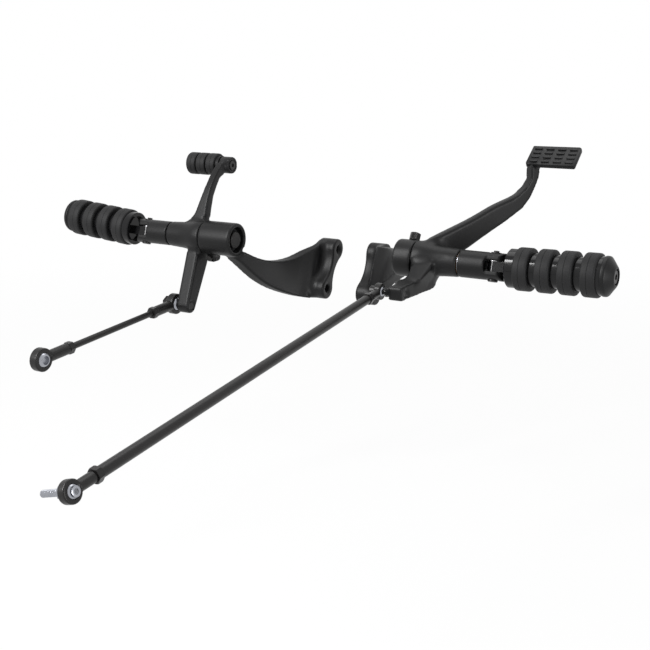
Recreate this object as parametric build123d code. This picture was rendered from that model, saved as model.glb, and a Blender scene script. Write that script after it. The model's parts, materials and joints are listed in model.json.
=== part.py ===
from build123d import *
import os
from math import atan2, cos, degrees, hypot, radians, sin, sqrt

# Motorcycle forward controls: the shift assembly (left) and the brake assembly (right) of one set.
# Frame: +X to the rider's right, +Y forward, +Z up, millimetres.
# Each side is modelled outboard of the motorcycle's middle plane, X = 0, with the pivot axis of both levers along X at
# Y = Z = 0. The left side is mirrored when it is written. What is written has its origin at the centre of the left
# flange's two bolt holes, on its mounting face.

# Clearances
slip = 0.3            # between faces of pieces that move past each other
running = 0.04        # radial, between a journal and its bush
hole_gap = 0.25       # radial, between a bolt and its plain hole

# Pivot stack of both sides, stations measured outboard from the midplane
bracket_end = 124.0       # outboard end of the bracket hub, where the lever starts
left_hub_inner = 84.0     # inboard end of the left bracket hub
right_hub_inner = 105.0   # inboard end of the right bracket hub
hub_radius = 18.0
hub_edge = 1.2
lever_hub_length = 45.0
lever_hub_taper = ((0.0, 18.0), (5.0, 18.0), (13.0, 16.9), (21.0, 15.2), (29.0, 14.2), (37.0, 13.7))
lever_nose_radius = 13.4
thrust_washer_thickness = 0.8
thrust_washer_radius = 12.8
pivot_bolt_radius = 6.0
pivot_head_radius = 8.8
pivot_head_height = 7.2
pivot_head_edge = 0.8
pivot_head_sink = 8.8     # depth of the counterbore that the head lies in
counterbore_radius = 13.6
pivot_thread_depth = 13.0
sleeve_radius = 8.5
bush_wall = 2.0
bush_length = 15.0

# Bracket flanges, the same on both sides; hole centres in (Y, Z)
flange_face = 20.0        # mounting face from the midplane
boss_radius = 11.8
boss_length = 14.0
flange_edge = 0.8
flange_waist = 33.0       # radius of the hollow sides between the bosses
flange_plate = 7.0
frame_hole_radius = 4.5
upper_hole = (107.8, -21.9)
lower_hole = (82.9, -62.0)

# Bracket arms: rear face in plan (X, Y) at two levels, ruled between them; wall thickness along it; side outline (Y, Z)
arm_high = 0.0
arm_low = -80.0
arm_reach = 20.0          # how far the ruled wall runs on above and below those levels, in millimetres
left_arm_high = ((101.0, -9.0), (86.5, 12.0), (71.0, 34.0), (56.5, 58.0), (43.0, 82.0), (34.0, 101.0))
left_arm_low = ((101.0, -9.0), (86.5, 12.0), (68.0, 31.0), (51.0, 46.5), (40.5, 57.5), (34.0, 68.0))
left_arm_walls = (12.0, 12.0, 11.0, 10.5, 9.0, 7.0)
left_arm_top = ((-6.0, -6.0), (14.0, -14.0), (25.0, -21.5), (36.0, -26.5), (48.0, -28.7), (66.0, -26.0),
                (84.0, -17.5), (107.8, -10.1))
left_arm_bottom = ((-6.0, -13.0), (4.0, -19.5), (14.0, -30.0), (25.0, -43.5), (36.0, -55.0), (48.0, -63.5),
                   (66.0, -71.0), (82.9, -73.8))
right_arm_high = ((112.0, 4.0), (103.5, 17.0), (87.0, 41.0), (68.0, 70.0), (48.0, 89.0), (34.0, 101.0))
right_arm_low = ((112.0, 4.0), (103.0, 15.0), (83.0, 30.0), (59.0, 46.0), (42.5, 58.0), (34.0, 68.0))
right_arm_walls = (11.0, 11.0, 10.0, 9.0, 8.0, 7.0)
right_arm_top = ((-2.0, 11.0), (16.0, 6.5), (45.0, -0.5), (66.0, -6.5), (84.0, -9.5), (107.8, -10.1))
right_arm_bottom = ((-2.0, -15.0), (16.0, -17.6), (34.0, -22.0), (48.0, -31.0), (66.0, -48.0), (82.9, -73.8))

# Folding foot pegs; stations along the peg are measured from its pin
pin_station = 203.5       # peg pin from the midplane
pin_tilt = 17.0           # top of the pin leans forward
pin_radius = 2.6
pin_head_radius = 4.8
pin_head_height = 2.2
pin_tail = 2.6            # length of the pin above the upper ear
pin_edge = 0.6
clip_thickness = 1.0
clip_radius = 5.0
spot_face = 1.2           # room round the pin's head on the ears
clevis_radius = 13.1
ear_flat = 9.6            # half width over the flats of the ears
ear_height = 24.4
ear_start = -6.6          # station where the flats begin
ear_end_radius = 11.2
slot_height = 10.4
slot_root = 7.2
lug_thickness = 9.2
lug_radius = 6.4
spring_washer_thickness = 0.8
spring_washer_radius = 6.2
barrel_edge = 0.6
left_peg_rise = 4.8       # degrees that the peg rises from the plane square to its pin
right_peg_rise = 0.6
left_peg_sweep = 1.4      # degrees that the peg points rearward at rest
right_peg_sweep = 3.4
collar_start = 15.6
collar_edge = 0.8
collar_radius = 18.2
collar_hollow_radius = 14.2
collar_hollow_depth = 4.5
spool_radius = 15.4
groove_radius = 13.6      # seat of each rubber ring
ring_radius = 20.0
ring_width = 14.0
ring_pitch = 21.0
ring_edge = 1.6
ring_count = 4
ring_first = 23.8         # start of the first ring
end_flange_length = 3.4   # spool flange between the last ring and the cap
end_flange_radius = 17.6
cap_length = 10.6
cap_radius = 18.1
cap_nose_radius = 8.9
cap_nose_edge = 0.5
cap_straight = 3.8
cap_recess_radius = 7.3
cap_recess_depth = 4.4
cap_screw_radius = 4.0
cap_screw_head_radius = 6.3
cap_screw_head_height = 3.6
cap_screw_head_edge = 0.5
cap_screw_length = 26.0
cap_screw_gap = 2.0       # between the screw's end and the bottom of its hole
cap_socket_width = 5.0

# Shift lever; side outlines in (Y, Z)
arm_inset = 1.7           # inboard face of the lever's arms from the inboard end of its hub
toe_front_edge = ((8.0, 15.0), (13.0, 31.5), (20.0, 47.5), (27.0, 56.5), (42.0, 63.7))
toe_corner = (46.0, 66.0)
toe_rear_edge = ((46.5, 81.0), (30.0, 70.5), (18.0, 58.0), (11.0, 48.0), (4.0, 32.0), (-2.0, 14.0))
toe_arm_walls = ((26.0, 14.0), (19.5, 18.5), (15.5, 22.5), (12.4, 31.0), (9.0, 47.0), (8.0, 60.0),
                 (8.0, 84.0))   # (thickness, Z)
toe_boss_centre = (50.0, 72.5)
toe_boss_radius = 9.2
toe_boss_overhang = 4.5   # how far the boss stands inboard of the arm
toe_boss_length = 14.0
toe_boss_edge = 0.8
shift_link_thickness = 15.0
shift_link_edge = 1.2
shift_link_pivot = (-28.0, -71.0)
shift_link_end_radius = 8.0
shift_link_front_edge = ((12.0, -12.0), (4.0, -29.0), (-9.0, -50.0))
shift_link_rear_edge = ((-22.5, -40.0), (-14.5, -22.0), (-12.0, -8.0))
toe_ring_radius = 12.1
toe_ring_width = 11.8
toe_ring_pitch = 13.0
toe_ring_count = 3
toe_ring_edge = 1.5
toe_core_radius = 7.5
toe_collar_radius = 9.6
toe_collar_length = 4.0
toe_end_length = 1.6
toe_end_edge = 0.8
toe_bolt_radius = 3.0
toe_bolt_head_radius = 5.2
toe_bolt_head_height = 3.4
toe_bolt_sink = 3.6
toe_bolt_depth = 18.0     # thread inside the toe peg
toe_socket_width = 4.0

# Brake pedal; outlines in (Y, Z), the arm in (distance along the arm, Z)
pedal_link_inset = 0.1    # inboard face of the link arm from the inboard end of the pedal hub
pedal_link_walls = ((14.6, -62.0), (17.1, -42.0), (19.6, -25.0), (22.6, -8.0))   # (thickness, Y)
pedal_link_pivot = (-56.0, -22.5)
pedal_link_top = ((-65.5, -14.6), (-34.0, -12.4), (-20.0, -12.2), (-12.0, -8.0), (-6.0, -4.0))
pedal_link_bottom = ((9.0, -10.0), (9.5, -15.5), (2.0, -20.5), (-10.0, -25.6), (-27.0, -26.4), (-65.5, -28.0))
pedal_link_corner = 3.0
pedal_spacer_radius = 4.6
pedal_arm_inset = 3.7     # root of the pedal arm from the inboard end of the pedal hub
pedal_arm_root = 3.0      # how far the root lies in front of the pivot axis
pedal_arm_angle = 50.0    # plan angle of the pedal arm from the pivot axis
pedal_arm_thickness = 11.0
pedal_arm_edge = 2.2
pedal_arm_top = ((-6.0, 15.0), (10.0, 22.0), (33.0, 31.0), (54.5, 40.0), (76.0, 50.0), (95.0, 57.0),
                 (106.0, 64.0), (112.0, 73.0), (113.0, 84.6))
pedal_arm_bottom = ((122.0, 90.5), (121.0, 83.0), (114.5, 67.0), (105.0, 48.0), (94.0, 38.0), (71.0, 24.0),
                    (46.0, 9.0), (20.0, -4.0), (2.0, -9.0))
pad_offset = (-0.64, -3.76, 3.3)   # rear inboard corner of the pad from the upper end of the arm
pad_width = 49.0
pad_depth = 28.4
pad_thickness = 4.0
pad_tilt = 34.3
pad_corner = 2.2
pad_edge = 0.6
pad_rows = 4
pad_columns = 4
pad_bar_length = 8.0
pad_bar_width = 2.2
pad_bar_height = 0.9
pad_row_pitch = 6.4
pad_column_pitch = 11.8

# Stop screws
stop_block_start = 112.5
stop_block_length = 8.5
stop_block_depth = 11.0
stop_block_drop = 26.0    # bottom of the block under the pivot axis
stop_block_corner = 3.0
stop_screw_radius = 3.0
stop_screw_level = 21.6
stop_screw_tail = 2.0
stop_head_radius = 5.1
stop_head_height = 7.6
stop_screw_reach = 8.0
stop_socket_width = 4.0
grub_socket_width = 3.0
pedal_stop_station = 117.0
pedal_stop_lean = 30.0
screw_edge = 0.5

# Linkage rods, measured along each rod from its front ball; drop is the fall towards the rear in degrees
shift_rod_station = 149.0
shift_rod_drop = 2.9
shift_rod_dims = {"length": 203.2, "bar": 3.2, "thread": 3.0, "eye": 11.2, "eye_width": 8.4, "ball": 7.95,
                  "ball_width": 12.0, "bore": 4.1, "neck": 5.6, "neck_end": 34.5, "nut_width": 11.0,
                  "nut_height": 6.0, "engagement": 16.0, "roll": 0.0}
brake_rod_station = 112.0
brake_rod_drop = 5.36
brake_rod_dims = {"length": 420.8, "bar": 4.3, "thread": 3.0, "eye": 7.9, "eye_width": 6.4, "ball": 5.55,
                  "ball_width": 8.0, "bore": 2.6, "neck": 4.1, "neck_end": 21.0, "nut_width": 10.0,
                  "nut_height": 5.0, "engagement": 10.0, "roll": -16.0}
eye_edge = 0.6
neck_start = 0.75         # of the eye radius
shift_spacer_radius = 6.5
shift_link_bolt_radius = 4.0
shift_link_bolt_head = 13.0
brake_link_bolt_radius = 2.5
brake_link_bolt_head_radius = 4.6
rear_bolt_head_radius = 3.6
rear_bolt_head_height = 1.6
rear_bolt_tail = 21.0     # stud beyond the rear ball on the inboard side
rear_stud_relief = 1.0    # width of the groove where the stud's thread ends at its nut
rear_stud_relief_radius = 2.0
rear_bolt_socket = 3.0
rear_nut_width = 8.0
rear_nut_height = 4.0

ball_gap = 0.05           # radial, between a ball and its race
bolt_head_height = 5.0
bolt_end_gap = 0.8        # bolt end short of the far mouth of its tapped hole
beyond = 1.0              # how far a cut runs past the face it opens

lever_start = bracket_end + slip
lever_end = lever_start + lever_hub_length
clevis_start = lever_end + slip + thrust_washer_thickness
arm_inner = lever_start + arm_inset
toe_boss_inner = arm_inner - toe_boss_overhang
pedal_link_inner = lever_start + pedal_link_inset
pedal_arm_start = lever_start + pedal_arm_inset
bush_inner = sleeve_radius + running
bush_outer = bush_inner + bush_wall
ring_last = ring_first + (ring_count - 1) * ring_pitch + ring_width
cap_start = ring_last + end_flange_length


def cyl_x(start, end, radius, y=0.0, z=0.0):
    """Cylinder along X between two stations."""
    return Pos((start + end) / 2, y, z) * Rot(0, 90, 0) * Cylinder(radius, abs(end - start))


def ring_x(start, end, outer, inner, y=0.0, z=0.0):
    return cyl_x(start, end, outer, y, z) - cyl_x(start - 1, end + 1, inner, y, z)


def hex_x(start, end, across_flats, y=0.0, z=0.0):
    """Hexagonal prism along X."""
    hexagon = RegularPolygon(across_flats / 2, 6, major_radius=False)
    return Pos(start, y, z) * Rot(0, 90, 0) * extrude(hexagon, end - start)


def turned_x(profile):
    """Solid turned about the X axis from (station, radius) points above the axis."""
    wire = Polyline(*[(x, r) for x, r in profile], close=True)
    return revolve(make_face(wire), Axis.X)


def yz_plane(station):
    return Plane(origin=(station, 0, 0), x_dir=(0, 1, 0), z_dir=(1, 0, 0))


def side_slab(face, start, end):
    """Face drawn in (Y, Z) and extruded along X from start to end."""
    return extrude(yz_plane(start) * face, end - start)


def save(shape, name):
    """Writes one piece with the middle of the left flange's bolt holes as its origin."""
    middle = ((upper_hole[0] + lower_hole[0]) / 2, (upper_hole[1] + lower_hole[1]) / 2)
    placed = Pos(flange_face, -middle[0], -middle[1]) * shape
    placed.label = name
    export_step(placed, f"parts/{name}.step")


def write(shape, name, left=False):
    """Writes one piece, mirrored to the left side where asked."""
    save(mirror(shape, about=Plane.YZ) if left else shape, name)


def round_head(start, radius, height, edge):
    """Round head that ends at the station start, with a chamfer round its far side."""
    return turned_x([(start - height, 0), (start - height, radius - edge), (start - height + edge, radius),
                     (start, radius), (start, 0)])


def socket_head(start, radius, height, width):
    """Round head with a hexagon socket half as deep as the head."""
    return round_head(start, radius, height, screw_edge) - hex_x(start - height - beyond, start - height / 2, width)


def offset_points(points, distances):
    """Points moved outboard, square to the line through them."""
    moved = []
    for index, (x, y) in enumerate(points):
        before, after = points[max(index - 1, 0)], points[min(index + 1, len(points) - 1)]
        dx, dy = after[0] - before[0], after[1] - before[1]
        if index == len(points) - 1:
            dx = 0
        size = hypot(dx, dy)
        moved.append((x + distances[index] * dy / size, y - distances[index] * dx / size))
    return moved


def arm_strip(plan, walls, level):
    """Plan of a bracket arm at one level, straight along the flange wall at its front end."""
    rear, front = list(plan), offset_points(plan, walls)
    far = upper_hole[0] + arm_reach
    strip = make_face(Curve() + [
        Spline(*rear, tangents=[(rear[1][0] - rear[0][0], rear[1][1] - rear[0][1]), (0, 1)]),
        Polyline(rear[-1], (rear[-1][0], far), (front[-1][0], far), front[-1]),
        Spline(*reversed(front), tangents=[(0, -1), (front[0][0] - front[1][0], front[0][1] - front[1][1])]),
        Line(front[0], rear[0])])
    return Pos(0, 0, level) * strip


def beyond_level(here, there, share):
    """Plan points carried on along the ruled wall, past one level and away from the other."""
    return [(a[0] + share * (a[0] - b[0]), a[1] + share * (a[1] - b[1])) for a, b in zip(here, there)]


def bracket_arm(high, low, walls, top, bottom):
    """Curved wall, ruled between two plans and cut to its side outline."""
    share = arm_reach / (arm_high - arm_low)
    wall = loft([arm_strip(low, walls, arm_low), arm_strip(beyond_level(high, low, share), walls, arm_high + arm_reach)],
                ruled=True)
    outline = make_face(Curve() + [Spline(*top), Line(top[-1], bottom[-1]), Spline(*reversed(bottom)),
                                   Line(bottom[0], top[0])])
    return wall & side_slab(outline, flange_face, bracket_end + 10)


def waisted(spacing, radius, waist):
    """Two round ends joined by hollow sides that run smoothly into them."""
    rise = sqrt((radius + waist) ** 2 - (spacing / 2) ** 2)
    share = waist / (radius + waist)
    x, y = spacing / 2 * share, rise * (1 - share)
    end, neck = spacing / 2 + radius, rise - waist
    return make_face(Curve() + [
        ThreePointArc((-x, y), (0, neck), (x, y)), ThreePointArc((x, y), (end, 0), (x, -y)),
        ThreePointArc((x, -y), (0, -neck), (-x, -y)), ThreePointArc((-x, -y), (-end, 0), (-x, y))])


def flange():
    """Two-hole flange, as deep as its bosses and the arm's wall behind them."""
    dy, dz = upper_hole[0] - lower_hole[0], upper_hole[1] - lower_hole[1]
    middle = ((upper_hole[0] + lower_hole[0]) / 2, (upper_hole[1] + lower_hole[1]) / 2)
    outline = Pos(*middle) * Rot(0, 0, degrees(atan2(dz, dy))) * waisted(hypot(dy, dz), boss_radius, flange_waist)
    body = side_slab(outline, flange_face, flange_face + boss_length + flange_plate)
    return chamfer(body.edges().group_by(Axis.X)[0], flange_edge)


def bracket(hub_inner, *arm):
    hub = turned_x([(hub_inner, 0), (hub_inner, hub_radius - hub_edge), (hub_inner + hub_edge, hub_radius),
                    (bracket_end, hub_radius), (bracket_end, 0)])
    return hub + flange() + bracket_arm(*arm)


def bore_bracket(body, hub_inner):
    body -= cyl_x(hub_inner - beyond, bracket_end + beyond, pivot_bolt_radius + hole_gap)
    body -= cyl_x(hub_inner - beyond, hub_inner + pivot_head_sink, counterbore_radius)
    for hole in (upper_hole, lower_hole):
        body -= cyl_x(flange_face - beyond, flange_face + 3 * boss_length, frame_hole_radius, *hole)
    return body


def left_bracket():
    body = bracket(left_hub_inner, left_arm_high, left_arm_low, left_arm_walls, left_arm_top, left_arm_bottom)
    block_top = -hub_radius / 2
    block = Pos(stop_block_start + stop_block_length / 2, 0, (block_top - stop_block_drop) / 2) * Box(
        stop_block_length, stop_block_depth, block_top + stop_block_drop)
    block = fillet(block.edges().filter_by(Axis.X).group_by(Axis.Z)[0], stop_block_corner)
    body = bore_bracket(body + block, left_hub_inner)
    return body - stop_screw_place("left") * Cylinder(stop_screw_radius, 4 * stop_screw_reach)


def right_bracket():
    body = bracket(right_hub_inner, right_arm_high, right_arm_low, right_arm_walls, right_arm_top, right_arm_bottom)
    body = bore_bracket(body, right_hub_inner)
    return body - stop_screw_place("right") * Pos(0, 0, -stop_screw_reach / 2) * Cylinder(
        stop_screw_radius, stop_screw_reach)


def stop_screw_place(side):
    """Mouth of a stop screw's hole, +Z pointing out of it."""
    if side == "left":
        return Pos(stop_block_start + stop_block_length / 2, -stop_block_depth / 2, -stop_screw_level) * Rot(90, 0, 0)
    return Pos(pedal_stop_station, 0, 0) * Rot(-pedal_stop_lean, 0, 0) * Pos(0, 0, hub_radius)


def hex_z(height, across_flats):
    return extrude(RegularPolygon(across_flats / 2, 6, major_radius=False), height)


def shift_stop_screw():
    """Grub screw right through the block."""
    length = stop_block_depth + 2 * stop_screw_tail
    body = chamfer(Cylinder(stop_screw_radius, length).edges(), screw_edge)
    body = Pos(0, 0, stop_screw_tail - length / 2) * body
    body -= Pos(0, 0, stop_screw_tail) * hex_z(-stop_screw_radius, grub_socket_width)
    return stop_screw_place("left") * body


def pedal_stop_screw():
    """Cap screw whose head stands on the hub, trimmed to the round under it."""
    head = chamfer(Cylinder(stop_head_radius, stop_head_height).edges().group_by(Axis.Z)[-1], screw_edge)
    body = Pos(0, 0, stop_head_height / 2) * head + Pos(0, 0, -stop_screw_reach / 2) * Cylinder(
        stop_screw_radius, stop_screw_reach)
    body -= Pos(0, 0, stop_head_height) * hex_z(-stop_head_height / 2, stop_socket_width)
    return stop_screw_place("right") * body


def pivot_bolt(hub_inner):
    seat = hub_inner + pivot_head_sink
    head = round_head(seat, pivot_head_radius, pivot_head_height, pivot_head_edge)
    return head + cyl_x(seat, clevis_start + pivot_thread_depth, pivot_bolt_radius)


def pivot_sleeve():
    return ring_x(bracket_end, clevis_start, sleeve_radius, pivot_bolt_radius + hole_gap)


def bushes():
    inner = ring_x(lever_start, lever_start + bush_length, bush_outer, bush_inner)
    outer = ring_x(lever_end - bush_length, lever_end, bush_outer, bush_inner)
    return Compound(children=[inner, outer])


def thrust_washer():
    return ring_x(clevis_start - thrust_washer_thickness, clevis_start, thrust_washer_radius,
                  sleeve_radius + hole_gap)


def lever_hub():
    """Lever hub, full size at the bracket and tapering to its nose at the clevis."""
    taper = [(lever_start + along, radius) for along, radius in lever_hub_taper]
    nose = (lever_end - hub_edge / 2, lever_nose_radius)
    edge = (lever_end, lever_nose_radius - hub_edge / 2)
    outline = Curve() + [Line((lever_start, 0), taper[0]), Line(taper[0], taper[1]),
                         Spline(*taper[1:], nose, tangents=[(1, 0), (1, 0)]),
                         Polyline(nose, edge, (lever_end, 0), (lever_start, 0))]
    return revolve(make_face(outline), Axis.X)


def shift_lever():
    toe_outline = make_face(Curve() + [
        Spline(*toe_front_edge), Polyline(toe_front_edge[-1], toe_corner, toe_rear_edge[0]),
        Spline(*toe_rear_edge), Line(toe_rear_edge[-1], toe_front_edge[0])])
    walls = [(arm_inner + wall, level) for wall, level in toe_arm_walls]
    toe_arm = side_slab(toe_outline, arm_inner, walls[0][0])
    taper = make_face(Curve() + [
        Spline(*walls), Polyline(walls[-1], (arm_inner, walls[-1][1]), (arm_inner, walls[0][1]), walls[0])])
    toe_arm &= extrude(Plane.XZ * taper, -2 * toe_boss_centre[0], both=True)

    boss_end = toe_boss_inner + toe_boss_length
    boss = chamfer(cyl_x(toe_boss_inner, boss_end, toe_boss_radius, *toe_boss_centre).edges(), toe_boss_edge)
    end = Pos(*shift_link_pivot) * Circle(shift_link_end_radius)
    link_outline = make_hull(end.edges() + Polyline(*shift_link_front_edge).edges()
                             + Polyline(*shift_link_rear_edge).edges())
    link = side_slab(link_outline, arm_inner, arm_inner + shift_link_thickness)
    link = chamfer(link.edges().filter_by(Axis.X, reverse=True), shift_link_edge)
    spacer_end = shift_rod_station - shift_rod_dims["ball_width"] / 2
    spacer = cyl_x(arm_inner + shift_link_thickness, spacer_end, shift_spacer_radius, *shift_link_pivot)
    body = lever_hub() + toe_arm + boss + link + spacer
    body -= cyl_x(lever_start - beyond, lever_end + beyond, bush_outer)
    body -= cyl_x(toe_boss_inner - beyond, boss_end + beyond, toe_bolt_radius + hole_gap, *toe_boss_centre)
    body -= cyl_x(toe_boss_inner - beyond, toe_boss_inner + toe_bolt_sink, toe_bolt_head_radius + hole_gap,
                  *toe_boss_centre)
    return body - cyl_x(arm_inner - beyond, spacer_end + beyond, shift_link_bolt_radius, *shift_link_pivot)


def toe_peg_core():
    start = toe_boss_inner + toe_boss_length
    rings_start = start + toe_collar_length
    rings_end = rings_start + (toe_ring_count - 1) * toe_ring_pitch + toe_ring_width
    body = turned_x([(start, 0), (start, toe_collar_radius), (rings_start, toe_collar_radius),
                     (rings_start, toe_core_radius), (rings_end, toe_core_radius),
                     (rings_end, toe_collar_radius), (rings_end + toe_end_length, toe_collar_radius - toe_end_edge),
                     (rings_end + toe_end_length, 0)])
    bore = cyl_x(start - beyond, start + toe_bolt_depth + bolt_end_gap, toe_bolt_radius)
    return Pos(0, *toe_boss_centre) * (body - bore)


def toe_peg_ring(index):
    start = toe_boss_inner + toe_boss_length + toe_collar_length + index * toe_ring_pitch
    return Pos(0, *toe_boss_centre) * rubber_ring(start, toe_ring_width, toe_ring_radius, toe_core_radius,
                                                  toe_ring_edge)


def rubber_ring(start, width, outer, inner, edge):
    return turned_x([(start, inner), (start, outer - edge), (start + edge, outer),
                     (start + width - edge, outer), (start + width, outer - edge), (start + width, inner)])


def toe_peg_bolt():
    seat = toe_boss_inner + toe_bolt_sink
    head = socket_head(seat, toe_bolt_head_radius, toe_bolt_head_height, toe_socket_width)
    end = toe_boss_inner + toe_boss_length + toe_bolt_depth
    return Pos(0, *toe_boss_centre) * (head + cyl_x(seat, end, toe_bolt_radius))


def pedal_link():
    """Link arm below the hub: side outline cut to a plan that narrows towards its tip."""
    side = make_face(Polyline(*pedal_link_top, *pedal_link_bottom, close=True))
    side = fillet(side.vertices().sort_by(Axis.X)[:2], pedal_link_corner)
    outer = [(pedal_link_inner + wall, y) for wall, y in pedal_link_walls]
    front, rear = hub_radius, pedal_link_top[0][0] - pedal_link_corner
    plan = make_face(Curve() + [
        Polyline((outer[-1][0], front), (pedal_link_inner, front), (pedal_link_inner, rear), (outer[0][0], rear),
                 outer[0]),
        Spline(*outer), Line(outer[-1], (outer[-1][0], front))])
    return side_slab(side, pedal_link_inner, outer[-1][0]) & extrude(plan, 3 * hub_radius, both=True)


def brake_pedal():
    turn = radians(pedal_arm_angle)
    arm_plane = Plane(origin=(pedal_arm_start, pedal_arm_root, 0), x_dir=(cos(turn), sin(turn), 0),
                      z_dir=(sin(turn), -cos(turn), 0))
    arm_outline = make_face(Curve() + [
        Spline(*pedal_arm_top), Line(pedal_arm_top[-1], pedal_arm_bottom[0]), Spline(*pedal_arm_bottom),
        Line(pedal_arm_bottom[-1], pedal_arm_top[0])])
    arm = extrude(arm_plane * arm_outline, pedal_arm_thickness)
    arm_span = pedal_arm_top[-1][0] - pedal_arm_top[0][0]
    arm = chamfer([edge for edge in arm.edges() if edge.length > arm_span], pedal_arm_edge)

    body = lever_hub() + pedal_link() + arm + pad()
    body -= cyl_x(lever_start - beyond, lever_end + beyond, bush_outer)
    spacer_start = brake_rod_station + brake_rod_dims["ball_width"] / 2
    body += cyl_x(spacer_start, pedal_link_inner + beyond, pedal_spacer_radius, *pedal_link_pivot)
    tapped_end = pedal_link_inner + pedal_link_walls[-1][0] + beyond
    return body - cyl_x(spacer_start - beyond, tapped_end, brake_link_bolt_radius, *pedal_link_pivot)


def pad():
    """Foot pad with raised bars, its rear inboard corner set from the upper end of the pedal arm."""
    turn, tilt = radians(pedal_arm_angle), radians(pad_tilt)
    along, level = pedal_arm_top[-1]
    corner = (pedal_arm_start + along * cos(turn) + pad_offset[0], pedal_arm_root + along * sin(turn) + pad_offset[1],
              level + pad_offset[2])
    plane = Plane(origin=corner, x_dir=(1, 0, 0), z_dir=(0, -sin(tilt), cos(tilt)))
    plate = Pos(pad_width / 2, pad_depth / 2, -pad_thickness / 2) * Box(pad_width, pad_depth, pad_thickness)
    plate = fillet(plate.edges().filter_by(Axis.Z), pad_corner)
    plate = chamfer(plate.edges().group_by(Axis.Z)[-1], pad_edge)
    bars = [loc * Box(pad_bar_length, pad_bar_width, 2 * pad_bar_height)
            for loc in GridLocations(pad_column_pitch, pad_row_pitch, pad_columns, pad_rows)]
    bars = Pos(pad_width / 2, pad_depth / 2, 0) * Compound(children=bars)
    return plane * (plate + bars.solids())


def clevis():
    """Round bar with two flatted ears about the peg's pin, tapped from behind for the pivot bolt."""
    back, wide = clevis_start - pin_station, 2 * clevis_radius
    barrel = turned_x([(back, 0), (back, clevis_radius - barrel_edge), (back + barrel_edge, clevis_radius),
                       (ear_end_radius, clevis_radius), (ear_end_radius, 0)])
    root = Pos((back + ear_start) / 2, 0) * Rectangle(ear_start - back, wide)
    ears = Circle(ear_end_radius) + Pos(ear_start / 2, 0) * Rectangle(-ear_start, wide)
    ears &= Rectangle(2 * wide, 2 * ear_flat)
    body = barrel & extrude(root + ears, clevis_radius + beyond, both=True)
    for end in (-1, 1):
        body -= Pos(0, 0, end * (ear_height + clevis_radius) / 2) * Cylinder(pin_head_radius + spot_face, clevis_radius)
    body -= Pos(wide / 2 - slot_root, 0, 0) * Box(wide, 2 * wide, slot_height)
    body -= Cylinder(pin_radius, 2 * wide)
    return body - cyl_x(back - beyond, back + pivot_thread_depth + bolt_end_gap, pivot_bolt_radius)


def clevis_pin():
    low = -ear_height / 2
    head = Pos(0, 0, low - pin_head_height / 2) * chamfer(
        Cylinder(pin_head_radius, pin_head_height).edges().group_by(Axis.Z)[0], pin_edge)
    length = ear_height + pin_tail
    return head + Pos(0, 0, low + length / 2) * Cylinder(pin_radius, length)


def pin_clip():
    clip = Cylinder(clip_radius, clip_thickness) - Cylinder(pin_radius, 3 * clip_thickness)
    clip -= Pos(0, clip_radius, 0) * Box(1.6 * pin_radius, 2 * clip_radius, 3 * clip_thickness)
    return Pos(0, 0, ear_height / 2 + clip_thickness / 2) * clip


def spring_washer():
    top = slot_height / 2
    return Pos(0, 0, top - spring_washer_thickness / 2) * (
        Cylinder(spring_washer_radius, spring_washer_thickness)
        - Cylinder(pin_radius + hole_gap, 2 * spring_washer_thickness))


def lug_level():
    """Middle height of the tongue, which rides on the lower ear with the spring washer above it."""
    return -slot_height / 2 + (slot_height - spring_washer_thickness - lug_thickness) / 2 + lug_thickness / 2


def peg_turn(left):
    rise, sweep = (left_peg_rise, left_peg_sweep) if left else (right_peg_rise, right_peg_sweep)
    return Rot(0, 0, -sweep) * Rot(0, -rise, 0)


def peg_core(left):
    """Turned spool with its collar, end flange and the tongue that folds on the pin."""
    points = [(collar_start, 0), (collar_start, collar_radius - collar_edge), (collar_start + collar_edge, collar_radius),
              (ring_first, collar_radius), (ring_first, groove_radius)]
    for index in range(ring_count):
        start = ring_first + index * ring_pitch
        points += [(start + ring_width, groove_radius)]
        if index < ring_count - 1:
            points += [(start + ring_width, spool_radius), (start + ring_pitch, spool_radius),
                       (start + ring_pitch, groove_radius)]
    points += [(ring_last, end_flange_radius), (cap_start, end_flange_radius), (cap_start, 0)]
    hollow_end = collar_start + collar_hollow_depth
    spool = turned_x(points) - cyl_x(collar_start - beyond, hollow_end, collar_hollow_radius)
    spool -= cyl_x(cap_start - cap_screw_length, cap_start + beyond, cap_screw_radius)
    stop = slot_root - slip
    tongue = Circle(lug_radius) + Pos(-stop / 2, lug_radius / 2) * Rectangle(stop, lug_radius) + Pos(
        (hollow_end + beyond) / 2, 0) * Rectangle(hollow_end + beyond, 2 * lug_radius)
    tongue = Pos(0, 0, lug_level() - lug_thickness / 2) * extrude(tongue, lug_thickness)
    tongue -= Cylinder(pin_radius + running, 4 * lug_thickness)
    sweep = left_peg_sweep if left else right_peg_sweep
    return peg_turn(left) * spool + Rot(0, 0, -sweep) * tongue


def peg_ring(index):
    return rubber_ring(ring_first + index * ring_pitch, ring_width, ring_radius, groove_radius, ring_edge)


def peg_cap():
    end = cap_start + cap_length
    body = turned_x([(cap_start, 0), (cap_start, cap_radius), (cap_start + cap_straight, cap_radius),
                     (end - cap_nose_edge, cap_nose_radius), (end, cap_nose_radius - cap_nose_edge), (end, 0)])
    body -= cyl_x(end - cap_recess_depth, end + beyond, cap_recess_radius)
    return body - cyl_x(cap_start - beyond, end, cap_screw_radius + hole_gap)


def peg_screw():
    seat = cap_start + cap_length - cap_recess_depth
    top = seat + cap_screw_head_height
    head = chamfer(cyl_x(seat, top, cap_screw_head_radius).edges().group_by(Axis.X)[-1], cap_screw_head_edge)
    head -= hex_x(top - cap_screw_head_height / 2, top + beyond, cap_socket_width)
    return head + cyl_x(cap_start + cap_screw_gap - cap_screw_length, seat, cap_screw_radius)


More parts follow.
